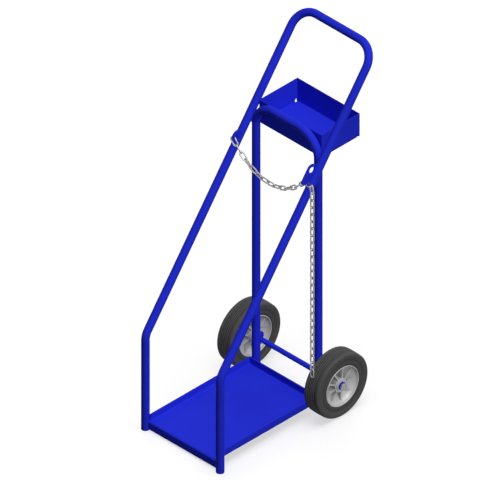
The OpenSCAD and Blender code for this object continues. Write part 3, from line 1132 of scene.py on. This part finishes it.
    def plate_seams(self) -> list[Seam]:
        """Welds along both faces of the chain's two plates.

        Returns:
            The seams.
        """
        seams = []
        for side, inset, run in ((-1, self.lug_in, self.lug_run), (1, 0.0, self.hook_run)):
            for face in (1, -1):
                off = inset + face * self.plate_t / 2
                out = math.sqrt(self.tube_r ** 2 - off ** 2) + self.plate_lift
                x = side * (self.leg_x() - off - face * self.plate_off)
                seams.append(Seam([self.on_tube(x, along, out) for along in run], self.plate_bead))
        return seams

    def seams(self) -> list[Seam]:
        """Lists the welds, each from the places of the pieces that it joins.

        Returns:
            The seams.
        """
        seams = []
        for side in (-1, 1):
            seams += [*self.deck_seams(side), self.crossing_seam(side), *self.axle_seams(side)]
        return seams + self.tray_seams() + self.plate_seams()

    def build(self, finishes: Finishes) -> None:
        """Lays every bead as one painted piece.

        Args:
            finishes: The cart's materials.
        """
        points: list[Point] = []
        edges: list[tuple[int, int]] = []
        sizes: list[float] = []
        for seam in self.seams():
            first = len(points)
            points += seam.points
            sizes += [seam.radius] * len(seam.points)
            edges += [(i, i + 1) for i in range(first, len(points) - 1)]
        seed = bpy.data.meshes.new("weld_seams")
        seed.from_pydata(points, edges, [])
        bead = seed.attributes.new("bead", "FLOAT", "POINT")
        for i, size in enumerate(sizes):
            bead.data[i].value = size
        piece = self.tree().grow("frame_welds", seed, finishes.paint)
        settle(piece, Body.FRAME, Slot.PAINT)


@dataclass(frozen=True)
class Lamp:
    """A far soft lamp: its name, direction, strength and how wide it looks from the cart."""

    name: str
    towards: Point
    strength: float
    spread: float
    shadows: bool = True

    def hang(self) -> None:
        """Hangs the lamp."""
        lamp = bpy.data.lights.new(self.name, "SUN")
        lamp.energy = self.strength
        lamp.angle = self.spread
        lamp.use_shadow = self.shadows
        holder = bpy.data.objects.new(self.name, lamp)
        holder.rotation_euler = Vector(self.towards).to_track_quat("Z", "Y").to_euler()
        bpy.context.scene.collection.objects.link(holder)


@dataclass
class Studio:
    """Camera, floor and soft light."""

    aim: Point = (0.0, -0.0833, 0.626)
    distance: float = 6.0
    view_width: float = 1.385
    ambient: float = 0.12
    floor_half: float = 9.0
    floor_roughness: float = 0.9
    floor_shade: float = 0.95
    floor_glow: float = 0.06
    bounce: float = 0.06
    lamps: tuple[Lamp, ...] = (
        Lamp("top", (0.10, 0.0, 1.0), 0.95, math.radians(45)),
        Lamp("key", (0.65, -0.08, 0.75), 2.4, math.radians(20), shadows=False),
        Lamp("back", (-0.75, 0.62, 0.22), 0.55, math.radians(60)))

    def place_camera(self) -> None:
        """Sets a parallel camera that looks down along the cart's diagonal."""
        back = Vector((1, -1, 1)).normalized()
        camera = bpy.data.cameras.new("camera")
        camera.type = "ORTHO"
        camera.ortho_scale = self.view_width
        camera.clip_end = 4 * self.distance
        holder = bpy.data.objects.new("camera", camera)
        holder.location = Vector(self.aim) + back * self.distance
        holder.rotation_euler = back.to_track_quat("Z", "Y").to_euler()
        bpy.context.scene.collection.objects.link(holder)
        bpy.context.scene.camera = holder

    @staticmethod
    def seen(nodes: Nodes) -> Socket:
        """Whether a ray comes from the camera, a gloss or a glass.

        Args:
            nodes: The node tree.

        Returns:
            A socket that is 1 for such a ray and 0 for any other.
        """
        path = nodes.add("ShaderNodeLightPath")
        value = path.outputs["Is Camera Ray"]
        for name in ("Is Glossy Ray", "Is Transmission Ray"):
            value = nodes.math("MAXIMUM", value, path.outputs[name])
        return value

    def lay_floor(self) -> None:
        """Lays the pale floor, which lights the cart less than it shows."""
        half = self.floor_half
        mesh = bpy.data.meshes.new("studio_floor")
        mesh.from_pydata([(-half, -half, 0), (half, -half, 0), (half, half, 0), (-half, half, 0)],
                         [], [(0, 1, 2, 3)])
        shader = Shader("pale_floor", self.floor_roughness, 0.0, 0.0)
        seen = self.seen(shader)
        shader.feed("Base Color", shader.mixed(seen, (self.bounce,) * 3, (self.floor_shade,) * 3))
        shader.surface.inputs["Emission Color"].default_value = (1, 1, 1, 1)
        shader.feed("Emission Strength", shader.ranged(seen, (0.0, 1.0), (0.0, self.floor_glow)))
        mesh.materials.append(shader.material)
        floor = new_object("studio_floor", mesh)

    def set_world(self) -> None:
        """Makes the surroundings white to look at and dim as light."""
        world = bpy.data.worlds.new("studio")
        world.use_nodes = True
        nodes = Nodes(world.node_tree)
        background = nodes.tree.nodes["Background"]
        background.inputs["Color"].default_value = (1, 1, 1, 1)
        level = nodes.add("ShaderNodeMapRange", {
            "Value": self.seen(nodes), "To Min": self.ambient, "To Max": 1.0})
        nodes.link(level.outputs["Result"], background.inputs["Strength"])
        bpy.context.scene.world = world

    def build(self) -> None:
        """Sets up everything around the cart."""
        bpy.context.scene.view_settings.view_transform = "Standard"
        self.place_camera()
        self.set_world()
        self.lay_floor()
        for lamp in self.lamps:
            lamp.hang()


@dataclass
class Steelwork:
    """The painted steel that is carried over as it is."""

    nodes: tuple[str, ...] = (
        "handle_frame", "back_frame", "platform", "tool_tray", "axle", "left_axle_gusset",
        "right_axle_gusset", "left_chain_lug", "right_chain_hook")

    def build(self, finishes: Finishes) -> None:
        """Paints each piece."""
        for node in self.nodes:
            dress(node, finishes.paint)


def main() -> None:
    """Builds the studio and the cart, piece by piece."""
    logging.basicConfig(level=logging.INFO, format="%(name)s: %(message)s")
    Studio().build()
    finishes = Finishes()
    Steelwork().build(finishes)
    Wheel(Side.LEFT, Body.LEFT_WHEEL).build(finishes)
    Wheel(Side.RIGHT, Body.RIGHT_WHEEL).build(finishes)
    Chain().build(finishes)
    Welds().build(finishes)


if __name__ == "__main__":
    main()
